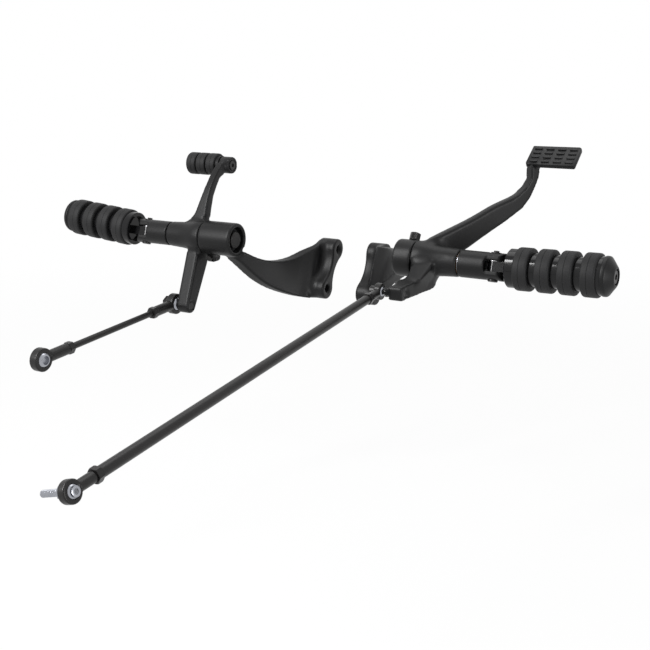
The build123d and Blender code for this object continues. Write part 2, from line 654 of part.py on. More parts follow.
def ball(radius, width, bore):
    return (Sphere(radius) & cyl_x(-width / 2, width / 2, radius + 1)) - cyl_x(-width, width, bore)


def rod_end(dims):
    """Eye about the origin with its tapped neck running rearward along Y."""
    half = dims["eye_width"] / 2
    eye = chamfer(cyl_x(-half, half, dims["eye"]).edges(), eye_edge)
    neck = bar_y(neck_start * dims["eye"], dims["neck_end"], dims["neck"])
    bore = bar_y(dims["neck_end"] - dims["engagement"], dims["neck_end"] + 1, dims["thread"])
    return eye + neck - Sphere(dims["ball"] + ball_gap) - bore


def bar_y(start, end, radius):
    """Round bar along -Y between two distances from the front ball."""
    return Pos(0, -(start + end) / 2, 0) * Rot(90, 0, 0) * Cylinder(radius, end - start)


def nut_y(start, height, width, bore):
    hexagon = extrude(RegularPolygon(width / 2, 6, major_radius=False), height)
    round_off = Pos(0, 0, height / 2) * chamfer(Cylinder(width / sqrt(3), height).edges(), screw_edge)
    return Pos(0, -start, 0) * Rot(90, 0, 0) * ((hexagon & round_off) - Cylinder(bore, 4 * height))


def shift_rod_place():
    return Pos(shift_rod_station, *shift_link_pivot) * Rot(shift_rod_drop, 0, 0)


def brake_rod_place():
    return Pos(brake_rod_station, *pedal_link_pivot) * Rot(brake_rod_drop, 0, 0)


def rear_place(dims):
    """Frame of the rear ball, rolled about the rod as its rod end was locked."""
    return Pos(0, -dims["length"], 0) * Rot(0, dims["roll"], 0)


def rod_pieces(kind, dims):
    length, neck_end, height = dims["length"], dims["neck_end"], dims["nut_height"]
    end = rod_end(dims)
    thread_start = neck_end - dims["engagement"]
    rod = bar_y(thread_start, length - thread_start, dims["thread"]) + bar_y(
        neck_end + height, length - neck_end - height, dims["bar"])
    nuts = Compound(children=[nut_y(start, height, dims["nut_width"], dims["thread"])
                              for start in (neck_end, length - neck_end - height)])
    centre_ball = ball(dims["ball"], dims["ball_width"], dims["bore"])
    return {f"{kind}_rod_end_front": end, f"{kind}_rod": rod, f"{kind}_jam_nuts": nuts,
            f"{kind}_rod_end_rear": rear_place(dims) * Rot(0, 0, 180) * end,
            f"{kind}_ball_front": centre_ball, f"{kind}_ball_rear": rear_place(dims) * centre_ball}


def shift_link_bolt():
    seat = shift_rod_station + shift_rod_dims["ball_width"] / 2
    head = hex_x(seat, seat + bolt_head_height, shift_link_bolt_head)
    shank = cyl_x(arm_inner + bolt_end_gap, seat, shift_link_bolt_radius)
    return Pos(0, *shift_link_pivot) * (head + shank)


def brake_link_bolt():
    seat = brake_rod_station - brake_rod_dims["ball_width"] / 2
    head = socket_head(seat, brake_link_bolt_head_radius, bolt_head_height, rear_bolt_socket)
    end = pedal_link_inner + pedal_link_walls[0][0] - bolt_end_gap
    return Pos(0, *pedal_link_pivot) * (head + cyl_x(seat, end, brake_link_bolt_radius))


def brake_rear_bolt():
    """Low-headed bolt through the rear ball, its threaded stud standing out beyond the nut on the inboard side."""
    half, radius = brake_rod_dims["ball_width"] / 2, brake_link_bolt_radius
    tip, nut_end = -half - rear_bolt_tail, -half - rear_nut_height
    body = turned_x([(tip, 0), (tip, radius - screw_edge), (tip + screw_edge, radius),
                     (nut_end - rear_stud_relief, radius), (nut_end - rear_stud_relief, rear_stud_relief_radius),
                     (nut_end, rear_stud_relief_radius), (nut_end, radius), (half, radius),
                     (half, rear_bolt_head_radius), (half + rear_bolt_head_height, rear_bolt_head_radius),
                     (half + rear_bolt_head_height, 0)])
    body -= hex_x(half + rear_bolt_head_height / 4, half + rear_bolt_head_height + beyond, rear_bolt_socket)
    return rear_place(brake_rod_dims) * body


def brake_rear_nut():
    half = brake_rod_dims["ball_width"] / 2
    nut = hex_x(-half - rear_nut_height, -half, rear_nut_width)
    nut -= cyl_x(-half - rear_nut_height - 1, -half + 1, brake_link_bolt_radius)
    return rear_place(brake_rod_dims) * nut


def build_side(side):
    left = side == "left"
    hub_inner = left_hub_inner if left else right_hub_inner
    write(left_bracket() if left else right_bracket(), f"{side}_bracket", left)
    write(pivot_bolt(hub_inner), f"{side}_pivot_bolt", left)
    write(pivot_sleeve(), f"{side}_pivot_sleeve", left)
    write(bushes(), f"{side}_bushes", left)
    write(thrust_washer(), f"{side}_thrust_washer", left)
    frame = Rot(-pin_tilt, 0, 0) * Pos(pin_station, 0, 0)
    for name, shape in (("clevis", clevis()), ("clevis_pin", clevis_pin()), ("pin_clip", pin_clip()),
                        ("spring_washer", spring_washer()), ("peg_core", peg_core(left))):
        write(frame * shape, f"{side}_{name}", left)
    turned = frame * peg_turn(left)
    for index in range(ring_count):
        write(turned * peg_ring(index), f"{side}_peg_ring_{index + 1}", left)
    write(turned * peg_cap(), f"{side}_peg_cap", left)
    write(turned * peg_screw(), f"{side}_peg_screw", left)


os.makedirs("parts", exist_ok=True)
for side in ("left", "right"):
    build_side(side)
for name, piece in (("shift_stop_screw", shift_stop_screw), ("shift_lever", shift_lever),
                    ("toe_peg_core", toe_peg_core), ("toe_peg_bolt", toe_peg_bolt),
                    ("shift_link_bolt", shift_link_bolt)):
    write(piece(), name, True)
for index in range(toe_ring_count):
    write(toe_peg_ring(index), f"toe_peg_ring_{index + 1}", True)
for name, shape in rod_pieces("shift", shift_rod_dims).items():
    write(shift_rod_place() * shape, name, True)
write(pedal_stop_screw(), "pedal_stop_screw")
write(brake_pedal(), "brake_pedal")
write(brake_link_bolt(), "brake_link_bolt")
for name, shape in (*rod_pieces("brake", brake_rod_dims).items(), ("brake_rear_bolt", brake_rear_bolt()),
                    ("brake_rear_nut", brake_rear_nut())):
    write(brake_rod_place() * shape, name)
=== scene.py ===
# %% [markdown]
# # Forward controls for a motorcycle, dressed for a studio picture
# Each side carries a folding foot peg and a lever on one pivot: the shift lever on the left, the brake
# pedal on the right. The solid model brings true sizes and every joint. This notebook adds what a
# machinist's drawing leaves out: the soft edges of castings, the grain of powder coat and rubber, and the
# threads and knurls of small parts.
# %% Load the solid model
import json
import math
import bmesh
import bpy
import numpy as np
from mathutils import Matrix, Vector


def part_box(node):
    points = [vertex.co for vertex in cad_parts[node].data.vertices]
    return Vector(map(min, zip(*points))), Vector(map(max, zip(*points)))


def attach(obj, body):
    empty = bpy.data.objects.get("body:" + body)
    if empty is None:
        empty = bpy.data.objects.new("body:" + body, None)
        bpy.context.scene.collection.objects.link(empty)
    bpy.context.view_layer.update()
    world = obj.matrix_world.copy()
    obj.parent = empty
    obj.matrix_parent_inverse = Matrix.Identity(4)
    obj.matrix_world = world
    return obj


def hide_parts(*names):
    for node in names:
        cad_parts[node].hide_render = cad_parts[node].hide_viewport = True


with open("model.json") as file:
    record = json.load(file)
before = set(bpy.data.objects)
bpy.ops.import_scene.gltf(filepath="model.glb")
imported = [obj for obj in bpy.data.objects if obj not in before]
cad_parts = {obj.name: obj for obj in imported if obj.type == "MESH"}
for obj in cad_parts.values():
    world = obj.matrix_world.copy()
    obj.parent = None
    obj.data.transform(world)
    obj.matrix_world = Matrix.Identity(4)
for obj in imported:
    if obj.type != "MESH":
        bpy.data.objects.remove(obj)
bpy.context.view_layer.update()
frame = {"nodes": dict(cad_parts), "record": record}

body_of = {node: body for body, nodes in frame["record"]["behaviour"]["bodies"].items() for node in nodes}
slot_of = {row["node"]: row["material_slot"] for row in frame["record"]["subparts"]}
joints = {joint["name"]: joint for joint in frame["record"]["behaviour"]["joints"]}
mounts = {mount["name"]: mount for mount in frame["record"]["mounts"]}
MM = 0.001
pivot = Vector(joints["brake_pedal_pivot"]["pos_m"])


def from_pivot(x, y, z):
    """A place in millimetres from the pivot axis and the middle of the motorcycle, as a vector in metres."""
    return pivot + Vector((x, y, z)) * MM


# %% [markdown]
# ## The camera
# A product picture is taken from a fixed place. The hubs, pegs and rods of the set, whose sizes are known,
# tell where the camera stood: behind the right peg, a little above it. Its turn and tilt are two rotations
# of a Blender camera, which looks down its own -Z axis until it is turned.
# %% Camera
camera_data = bpy.data.cameras.new("studio_camera")
camera_data.sensor_width = 36.0
camera_data.lens = 57.19
camera = bpy.data.objects.new("studio_camera", camera_data)
camera.location = (0.5452, -0.9970, 0.2356)
LOOK_DOWN, LOOK_LEFT = 14.82, 29.14
camera.rotation_euler = (math.radians(90.0 - LOOK_DOWN), 0.0, math.radians(LOOK_LEFT))
bpy.context.scene.collection.objects.link(camera)
bpy.context.scene.camera = camera
bpy.context.scene.view_settings.view_transform = "Standard"
print("camera at", tuple(round(value, 3) for value in camera.location))

# %% [markdown]
# ## Wires that do arithmetic
# A finish is a small calculation on every point of a surface. Blender draws it as boxes and wires. Wrapping
# a wire in a class with + and * lets the calculation be read as a formula, and each operator adds its Math
# node.
# %% Shader wires
class Wire:
    """An output socket that takes part in sums."""

    def __init__(self, tree, socket):
        self.tree, self.socket = tree, socket

    def join(self, operation, first, second):
        node = self.tree.nodes.new("ShaderNodeMath")
        node.operation = operation
        for place, value in zip(node.inputs, (first, second)):
            if isinstance(value, Wire):
                self.tree.links.new(value.socket, place)
            else:
                place.default_value = value
        return Wire(self.tree, node.outputs[0])

    def __add__(self, other):
        return self.join("ADD", self, other)

    def __mul__(self, other):
        return self.join("MULTIPLY", self, other)


class Finish:
    """A material with one general way of adding a node."""

    def __init__(self, name):
        self.material = bpy.data.materials.new(name)
        self.material.use_nodes = True
        self.tree = self.material.node_tree
        self.tree.nodes.clear()
        self.place = self.node("TexCoord", output="Object")

    def node(self, kind, settings=None, sockets=None, output=0):
        made = self.tree.nodes.new("ShaderNode" + kind)
        for key, value in (settings or {}).items():
            setattr(made, key, value)
        for key, value in (sockets or {}).items():
            if isinstance(value, Wire):
                self.tree.links.new(value.socket, made.inputs[key])
            else:
                made.inputs[key].default_value = value
        return Wire(self.tree, made.outputs[output])

    def noise(self, size):
        """Cloudy noise with features about this many metres across."""
        return self.node("TexNoise", sockets={"Vector": self.place, "Scale": 1.0 / size, "Detail": 3.0})

    def colour(self, amount, low, high):
        ends = {"Factor": amount, "A": (*low, 1.0), "B": (*high, 1.0)}
        return self.node("Mix", {"data_type": "RGBA"}, ends, 2)

    def bump(self, height, depth):
        return self.node("Bump", sockets={"Height": height, "Distance": depth, "Strength": 1.0})

    def shade(self, **sockets):
        names = {key.replace("_", " "): value for key, value in sockets.items()}
        shader = self.node("BsdfPrincipled", sockets=names)
        output = self.tree.nodes.new("ShaderNodeOutputMaterial")
        self.tree.links.new(shader.socket, output.inputs["Surface"])
        return self.material


# %% [markdown]
# ## Black powder coat
# The brackets and levers are castings under satin black powder coat. Baked powder flows into a fine orange
# peel, a millimetre or so across and hundredths of one deep, which breaks the highlights up softly. Two
# noises make it: a wide one that shifts the colour and gloss a little, and a fine one for the relief. The
# specular level is low, because so dark a coat scatters the little light that it doesn't swallow.
# %% Powder coat
CLOUD_SIZE, CLOUD_SHARE, GRAIN_SHARE = 0.030, 0.08, 0.06
finishes = {}


def black_coat(name, dark, light, rough, size, peel, specular, metallic=0.0):
    """Black under a cloud in colour and roughness, and a grain of this size in roughness and relief."""
    coat = Finish(name)
    cloud, grain = coat.noise(CLOUD_SIZE), coat.noise(size)
    print(name, "with grain of", round(size / MM, 2), "mm")
    return coat.shade(Base_Color=coat.colour(cloud, dark, light),
                      Roughness=cloud * CLOUD_SHARE + grain * GRAIN_SHARE + rough,
                      Normal=coat.bump(grain, peel), Specular_IOR_Level=specular, Metallic=metallic)


finishes["satin_black"] = black_coat("satin_powder_coat", (0.0050, 0.0050, 0.0053), (0.0085, 0.0085, 0.0088),
                                     rough=0.33, size=0.0011, peel=0.00003, specular=0.19)

# %% [markdown]
# ## Gloss black
# The spools of the foot pegs are dipped, not powdered: nearly mirror smooth, so they pick up white streaks
# from the studio. The relief is left at a whisper.
# %% Gloss black
finishes["gloss_black"] = black_coat("gloss_black_coat", (0.004, 0.004, 0.0045), (0.007, 0.007, 0.0075),
                                     rough=0.05, size=0.0015, peel=0.000001, specular=0.24)

# %% [markdown]
# ## Black oxide steel
# Rods, rod ends and screws are steel under a thin black conversion coat. It is a little browner and shinier
# than paint, and it keeps the fine lines of turning.
# %% Black oxide
finishes["black_steel"] = black_coat("black_oxide_steel", (0.008, 0.0077, 0.0077), (0.014, 0.0133, 0.0133),
                                     rough=0.26, size=0.0005, peel=0.000012, specular=0.28, metallic=0.05)

# %% [markdown]
# ## Rubber
# Moulded rubber is matte and slightly chalky where the mould was blasted. A coarse cloud makes the bloom
# and a fine grain the mould's texture.
# %% Rubber
finishes["rubber"] = black_coat("moulded_rubber", (0.009, 0.009, 0.0095), (0.015, 0.015, 0.0155),
                                rough=0.50, size=0.0006, peel=0.00005, specular=0.20)

# %% [markdown]
# ## Bright metals
# Zinc plate, bare steel and sintered bronze differ only in colour and in how rough they are, so one recipe
# with three sets of numbers serves all. The stain is a broad noise, the scratch a fine one.
# %% Bright metals
STAIN_SIZE, STAIN_SHARE = 0.006, 0.10
SCRATCH_SIZE, SCRATCH_SHARE, SCRATCH_DEPTH = 0.0003, 0.08, 0.000010


def bright_metal(name, dull, clean, rough):
    """Bare metal with a broad stain in colour and fine scratches in relief."""
    metal = Finish(name)
    stain, scratch = metal.noise(STAIN_SIZE), metal.noise(SCRATCH_SIZE)
    return metal.shade(Base_Color=metal.colour(stain, dull, clean), Metallic=1.0,
                       Roughness=stain * STAIN_SHARE + scratch * SCRATCH_SHARE + rough,
                       Normal=metal.bump(scratch, SCRATCH_DEPTH))


finishes["zinc"] = bright_metal("bright_zinc", (0.27, 0.28, 0.31), (0.40, 0.41, 0.44), 0.16)
finishes["steel"] = bright_metal("bare_steel", (0.36, 0.36, 0.37), (0.50, 0.50, 0.51), 0.30)
finishes["bronze"] = bright_metal("sintered_bronze", (0.34, 0.20, 0.09), (0.48, 0.30, 0.15), 0.38)


def finish_of(node):
    """The finish of a node's slot, but a cap's coat is duller than the gloss of the core it closes."""
    return finishes["satin_black" if node.endswith("peg_cap") else slot_of[node]]


print("finishes:", ", ".join(sorted(finishes)))

# %% [markdown]
# ## Every solid gets its finish
# The record names a slot for each node, so the finishes go on by name in one pass. Pieces that are rebuilt
# below stand in for their nodes and take the same finish.
# %% Paint the solids
for node, piece in frame["nodes"].items():
    piece.data.materials.clear()
    piece.data.materials.append(finish_of(node))
print("painted", len(frame["nodes"]), "solids")

# %% [markdown]
# ## Putting a new piece in place
# A new mesh stands for a node of the solid model: it rides on the same body, takes the same finish and
# hides that node. Its place is in its vertices, and the object itself stays at the origin.
# %% Stand in for a node
def stand_in(name, shape, node, angle=35.0):
    """Turns a bmesh into the piece that is shown for a node."""
    mesh = bpy.data.meshes.new(name)
    bmesh.ops.recalc_face_normals(shape, faces=shape.faces)
    shape.to_mesh(mesh)
    shape.free()
    piece = bpy.data.objects.new(name, mesh)
    bpy.context.scene.collection.objects.link(piece)
    mesh.materials.append(finish_of(node))
    mesh.shade_smooth()
    mesh.set_sharp_from_angle(angle=math.radians(angle))
    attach(piece, body_of[node])
    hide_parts(node)
    print(name, "with", len(mesh.polygons), "faces")


# %% [markdown]
# ## Nets that relax
# A casting has no sharp edge anywhere: the pattern is rounded so that it leaves the mould, and the coat
# rounds it again. Beveling every edge of such a curved body is fragile. Wrapping the solid in a fine even
# net and letting the net relax makes every edge soft at once. Each point moves towards the mean of its
# neighbours, which numpy works out for all points together from the list of edges.
# %% Wrap and relax
def wrapped(shape, size):
    """Wraps a closed bmesh in a net of this size and returns the net as a mesh."""
    mesh = bpy.data.meshes.new("draft")
    shape.to_mesh(mesh)
    shape.free()
    draft = bpy.data.objects.new("draft", mesh)
    bpy.context.scene.collection.objects.link(draft)
    wrap = draft.modifiers.new("wrap", "REMESH")
    wrap.mode, wrap.voxel_size, wrap.use_smooth_shade = "VOXEL", size, True
    net = bpy.data.meshes.new_from_object(draft.evaluated_get(bpy.context.evaluated_depsgraph_get()))
    bpy.data.objects.remove(draft)
    bpy.data.meshes.remove(mesh)
    return net


HOLLOW_FADE = 0.9


class Net:
    """The points and edges of a mesh as arrays, with the sums that relaxing needs."""

    def __init__(self, mesh):
        self.mesh = mesh
        self.points = self.read(mesh.vertices, "co")
        pairs = np.empty(2 * len(mesh.edges), dtype=np.int32)
        mesh.edges.foreach_get("vertices", pairs)
        self.ends = pairs.reshape(-1, 2).T
        self.degree = np.bincount(pairs, minlength=len(self.points))

    def read(self, things, key):
        values = np.empty(3 * len(things))
        things.foreach_get(key, values)
        return values.reshape(-1, 3)

    def pull(self):
        """How far each point lies from the mean of its neighbours."""
        first, second = self.ends
        sums = [np.bincount(first, self.points[second, k], len(self.points))
                + np.bincount(second, self.points[first, k], len(self.points)) for k in range(3)]
        return np.stack(sums, 1) / self.degree[:, None] - self.points

    def write(self):
        self.mesh.vertices.foreach_set("co", self.points.ravel())
        self.mesh.update()

    def relax(self, rounds, share=0.5):
        """Moves each point this share of the way to the mean of its neighbours, some rounds long."""
        for _ in range(rounds):
            self.points += np.reshape(share, (-1, 1)) * self.pull()
        self.write()

    def clear_of(self, ball, play=0.1 * MM):
        """Pushes points out until a ball node can turn with this play."""
        low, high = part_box(ball)
        centre = (np.array(low) + np.array(high)) / 2
        away = self.points - centre
        far = np.linalg.norm(away, axis=1)
        radius = max((corner.co - Vector(centre)).length for corner in frame["nodes"][ball].data.vertices)
        near = far < radius + play
        self.points[near] = centre + away[near] / far[near, None] * (radius + play)
        self.write()

    def hollows(self, depth, reach):
        """1 in inner corners, where the neighbours' mean lies outside the skin, fading over a few points."""
        out = np.sum(self.pull() * self.read(self.mesh.vertices, "normal"), axis=1)
        weight = (out > depth).astype(float)
        first, second = self.ends
        for _ in range(reach):
            spread = weight.copy()
            np.maximum.at(spread, first, weight[second] * HOLLOW_FADE)
            np.maximum.at(spread, second, weight[first] * HOLLOW_FADE)
            weight = spread
        return weight


# %% [markdown]
# ## Castings
# After a short relaxing of everything, the inner corners go on alone, so that hub and arm flow together in
# a wide fillet while the outer edges stay tight. The bored hub is spared, because a bore is machined after
# casting. Where the pattern has a small form that the solid leaves out, such as a gusset, its corner points
# are hulled and wrapped together with the solid.
# %% Castings
def hull_into(shape, corners):
    """Adds the hull of some corner points to a bmesh."""
    points = [shape.verts.new(corner) for corner in corners]
    made = bmesh.ops.convex_hull(shape, input=points, use_existing_faces=False)
    bmesh.ops.delete(shape, geom=list(set(made["geom_interior"] + made["geom_unused"])), context="VERTS")


NEAR_PLANE = 75.0 * MM
SAME_PLACE = 0.01 * MM
HOLLOW_DEPTH, HOLLOW_REACH = 0.03, 7   # share of the net's size, points


def cut_above(shape, point, normal):
    """Takes off what lies beyond a plane, near its point, and closes the cut."""
    near = [face for face in shape.faces if (face.calc_center_median() - point).length < NEAR_PLANE]
    edges = {edge for face in near for edge in face.edges}
    points = {point for face in near for point in face.verts}
    cut = bmesh.ops.bisect_plane(shape, geom=[*points, *edges, *near], plane_co=point, plane_no=normal,
                                 clear_outer=True)
    rim = [part for part in cut["geom_cut"] if isinstance(part, bmesh.types.BMEdge)]
    bmesh.ops.contextual_create(shape, geom=rim)


def casting(node, size, rounds, fillet=0, spared=0.0, gussets=(), above=None, ball=None):
    """Soft stand-in for a cast node. spared is the radius about the pivot axis that keeps its inner corners,
    above is a (point, normal) plane that ends the solid, and ball is the node that turns in it."""
    shape = bmesh.new()
    shape.from_mesh(frame["nodes"][node].data)
    bmesh.ops.remove_doubles(shape, verts=shape.verts, dist=SAME_PLACE)
    if above:
        cut_above(shape, *above)
    for corners in gussets:
        hull_into(shape, corners)
    net = Net(wrapped(shape, size))
    net.relax(rounds)
    if fillet:
        share = 0.5 * net.hollows(HOLLOW_DEPTH * size, HOLLOW_REACH)
        away = net.points - np.array(pivot)
        share[np.hypot(away[:, 1], away[:, 2]) < spared] = 0.0
        net.relax(fillet, share)
    if ball:
        net.clear_of(ball)
    shape = bmesh.new()
    shape.from_mesh(net.mesh)
    bpy.data.meshes.remove(net.mesh)
    stand_in(node + "_casting", shape, node, angle=180.0)


BORE = 15.4 * MM
for node in ("left_bracket", "right_bracket"):
    casting(node, 0.9 * MM, rounds=6, fillet=90, spared=BORE)

# %% [markdown]
# The shift lever's upper arm swells forward between hub and toe boss, where the solid is slimmer than the
# casting.
# %% Shift lever
ARM_INNER = 126.0
# Each station is rear y, front y, z and wall.
SWELL = ((2.0, 10.5, 15.0, 18.0), (6.0, 13.5, 27.0, 12.0), (10.0, 18.5, 42.0, 9.0), (16.0, 25.5, 52.5, 8.0),
         (24.0, 32.0, 61.0, 7.5))
slices = [[from_pivot(-ARM_INNER - wall * side, y, z) for y in (rear, front) for side in (0, 1)]
          for rear, front, z, wall in SWELL]
swells = [first + second for first, second in zip(slices, slices[1:])]
casting("shift_lever", 0.8 * MM, rounds=6, fillet=90, spared=BORE, gussets=swells)

# %% [markdown]
# Clevises and rod ends are small forgings, so their nets are finer.
# %% Forgings
for node in ("left_clevis", "right_clevis"):
    casting(node, 0.5 * MM, rounds=4)
for node in body_of:
    if "rod_end" in node:
        casting(node, 0.4 * MM, rounds=4, ball=node.replace("rod_end", "ball"))

# %% [markdown]
# ## The brake pedal
# The pedal's pad is a plate with crisp bars, which a relaxed net would wash out. So the casting stops just
# inside the plate, and the plate is built on its own. First its corner is found on the solid, near the
# pedal's highest point.
# %% Pad corner
PAD_TILT = math.radians(34.3)
PAD_WIDTH, PAD_DEPTH, PAD_THICKNESS, BAR_HEIGHT = 49.0, 28.4, 4.0, 0.9
PAD_REACH, PLATE_SLACK, FRONT_INSET = 30.0, 0.7, 0.8
pad_up = Vector((0.0, -math.sin(PAD_TILT), math.cos(PAD_TILT)))
pad_back = Vector((0.0, math.cos(PAD_TILT), math.sin(PAD_TILT)))


def pad_corner():
    """Rear inboard corner of the pad's top face, found from the pedal's highest point."""
    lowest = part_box("brake_pedal")[1][2] - PAD_REACH * MM
    solid = [vertex.co for vertex in frame["nodes"]["brake_pedal"].data.vertices if vertex.co.z > lowest]
    top = max(point.dot(pad_up) for point in solid)
    plate = [point for point in solid if point.dot(pad_up) > top - (PAD_THICKNESS + PLATE_SLACK) * MM]
    rear = max(point.dot(pad_back) for point in plate) - (PAD_DEPTH + FRONT_INSET) * MM
    left = min(point.x for point in plate)
    return Vector((left, 0.0, 0.0)) + rear * pad_back + (top - BAR_HEIGHT * MM) * pad_up


corner = pad_corner()
print("pad corner", tuple(round(value, 4) for value in corner))


def on_pad(x, y, z):
    """A place in millimetres along the pad's width, depth and thickness."""
    return corner + (Vector((x, 0.0, 0.0)) + y * pad_back + z * pad_up) * MM


# %% [markdown]
# The pedal's arm bends upward into a neck that widens under the pad. Stations along the arm give its rear
# and front edge, and the hulls between them are wrapped together with the solid. A web fills the corner
# between the hub and the link arm below it.
# %% Neck and web
ARM_ANGLE, ARM_ROOT, ARM_THICKNESS = math.radians(50.0), (128.0, 3.0), 11.0


def on_arm(along, across, z):
    """A place in millimetres along the pedal's arm, through its thickness and above the pivot axis."""
    return from_pivot(ARM_ROOT[0] + along * math.cos(ARM_ANGLE) + across * math.sin(ARM_ANGLE),
                      ARM_ROOT[1] + along * math.sin(ARM_ANGLE) - across * math.cos(ARM_ANGLE), z)


# Each station is (along, z) of the rear edge and of the front edge: foot, middle and end of the straight arm,
# three through the bend, and two in the neck.
STATIONS = (((44.0, 20.0), (47.5, 12.5)), ((76.0, 42.0), (84.5, 32.5)), ((91.5, 53.0), (104.0, 45.0)),
            ((100.0, 59.0), (112.5, 55.5)), ((107.5, 65.5), (117.0, 65.5)), ((112.5, 73.0), (120.5, 74.0)),
            ((112.0, 81.0), (121.5, 81.0)), ((112.0, 88.0), (122.0, 84.0)))
sections = [[on_arm(along, across, z) for along, z in edges for across in (0.0, ARM_THICKNESS)]
            for edges in STATIONS]
neck = [first + second for first, second in zip(sections, sections[1:])]
WEB = ((127.0, -10.0, 6.0), (149.0, -10.0, 6.0), (127.0, -17.6, -2.0), (149.5, -17.6, -2.0),
       (143.5, -42.0, -15.0), (130.0, -40.0, -15.0), (146.0, -12.0, -18.0), (127.0, -12.0, -18.0))
INSIDE_PLATE = -2.8
web = [from_pivot(*place) for place in WEB]
casting("brake_pedal", 0.9 * MM, rounds=5, fillet=120, spared=BORE, gussets=[*neck, web],
        above=(on_pad(0.0, 0.0, INSIDE_PLATE), pad_up))

# %% [markdown]
# The plate starts as a flat outline with rounded corners, which is pulled up into a slab and beveled round
# its top. Its bars are small slabs of the same kind in rows, with gaps between them.
# %% Pedal pad
PAD_CORNER, PAD_EASE = 2.2, 0.7
BAR_LENGTH, BAR_WIDTH, BAR_SINK, BAR_CORNER, BAR_EASE = 8.0, 2.2, 0.5, 0.7, 0.25
ROW_PITCH, COLUMN_PITCH, ROWS, COLUMNS = 6.4, 11.8, 4, 4


def slab_into(shape, centre, width, depth, low, high, corner_radius, ease):
    """Adds a slab with rounded corners and beveled edges, in millimetres on the pad."""
    steps = (0.0, 22.5, 45.0, 67.5, 90.0)
    turns = [math.radians(90.0 * quarter + step) for quarter in range(4) for step in steps]
    outline = []
    for turn in turns:
        side_x = math.copysign(width / 2 - corner_radius, math.cos(turn - 0.001))
        side_y = math.copysign(depth / 2 - corner_radius, math.sin(turn + 0.001))
        outline.append((centre[0] + side_x + corner_radius * math.cos(turn),
                        centre[1] + side_y + corner_radius * math.sin(turn)))
    base = shape.faces.new([shape.verts.new(on_pad(x, y, low)) for x, y in outline])
    raised = bmesh.ops.extrude_face_region(shape, geom=[base])["geom"]
    lid = [part for part in raised if isinstance(part, bmesh.types.BMVert)]
    bmesh.ops.translate(shape, verts=lid, vec=pad_up * (high - low) * MM)
    edges = [edge for edge in raised if isinstance(edge, bmesh.types.BMEdge)]
    bmesh.ops.bevel(shape, geom=edges, offset=ease * MM, offset_type="OFFSET", segments=2, profile=0.5,
                    affect="EDGES", material=-1)


pad = bmesh.new()
middle = (PAD_WIDTH / 2, PAD_DEPTH / 2)
slab_into(pad, middle, PAD_WIDTH, PAD_DEPTH, -PAD_THICKNESS, 0.0, PAD_CORNER, PAD_EASE)
for row in range(ROWS):
    for column in range(COLUMNS):
        place = (middle[0] + (column - (COLUMNS - 1) / 2) * COLUMN_PITCH,
                 middle[1] + (row - (ROWS - 1) / 2) * ROW_PITCH)
        slab_into(pad, place, BAR_LENGTH, BAR_WIDTH, -BAR_SINK, BAR_HEIGHT, BAR_CORNER, BAR_EASE)
stand_in("brake_pedal_pad", pad, "brake_pedal")

# %% [markdown]
# ## Turned pieces
# Rings, caps and washers are turned, so each is one outline spun about its axis. The axis is read from the
# solids: the mean of a ring's points is its centre, and two centres give the line. An outline's corners
# carry a small ease, which becomes a short curve, because no moulded or turned edge is truly sharp.
# %% Spin an outline
def points_of(node):
    return np.array([vertex.co for vertex in frame["nodes"][node].data.vertices])


def line_through(first, second):
    """Start and direction of the line from one node's centre to another's."""
    start, end = (Vector(points_of(node).mean(axis=0)) for node in (first, second))
    return start, (end - start).normalized()


def reach(node, start, along):
    """Where a node begins and ends along a line, and its least and greatest distance from it, in mm."""
    offset = (points_of(node) - np.array(start)) / MM
    far = offset @ np.array(along)
    out = np.linalg.norm(offset - far[:, None] * np.array(along), axis=1)
    return far.min(), far.max(), out.min(), out.max()


def eased(corners):
    """Closed outline with its corners curved: each corner is (distance, radius, ease), in millimetres."""
    outline = []
    for index, (x, y, ease) in enumerate(corners):
        here = Vector((x, y))
        if not ease:
            outline.append(here)
            continue
        before, after = (Vector(corners[(index + step) % len(corners)][:2]) for step in (-1, 1))
        first, last = (here + (other - here).normalized() * ease for other in (before, after))
        for part in (0.0, 0.25, 0.5, 0.75, 1.0):
            outline.append((1 - part) ** 2 * first + 2 * part * (1 - part) * here + part ** 2 * last)
    return outline


def turned(name, node, corners, start, along, steps=96):
    """Spins a closed outline about a line into the piece that is shown for a node."""
    shape = bmesh.new()
    ring = [shape.verts.new((point.x * MM, 0.0, point.y * MM)) for point in eased(corners)]
    edges = [shape.edges.new(pair) for pair in zip(ring, ring[1:] + ring[:1])]
    bmesh.ops.spin(shape, geom=ring + edges, cent=(0.0, 0.0, 0.0), axis=(1.0, 0.0, 0.0), dvec=(0.0, 0.0, 0.0),
                   angle=2 * math.pi, steps=steps, use_merge=True)
    bmesh.ops.remove_doubles(shape, verts=shape.verts, dist=0.000001)
    turn = along.to_track_quat("X", "Z").to_matrix().to_4x4()
    bmesh.ops.transform(shape, matrix=Matrix.Translation(start) @ turn, verts=shape.verts)
    stand_in(name, shape, node)


# %% [markdown]
# The rubber rings have rounded shoulders and a hair-thin parting line where the halves of their mould met.
# %% Rubber rings
SHOULDER, TOE_SHOULDER = 2.2, 1.8
PARTING_PLACE, PARTING_HALF, PARTING_DEPTH = 0.46, 0.18, 0.40


def rubber_ring(node, start, along, shoulder):
    low, high, inner, outer = reach(node, start, along)
    parting = low + PARTING_PLACE * (high - low)
    turned(node + "_moulded", node,
           [(low, inner, 0), (low, outer, shoulder), (parting - PARTING_HALF, outer, 0),
            (parting, outer - PARTING_DEPTH, 0), (parting + PARTING_HALF, outer, 0),
            (high, outer, shoulder), (high, inner, 0)], start, along)


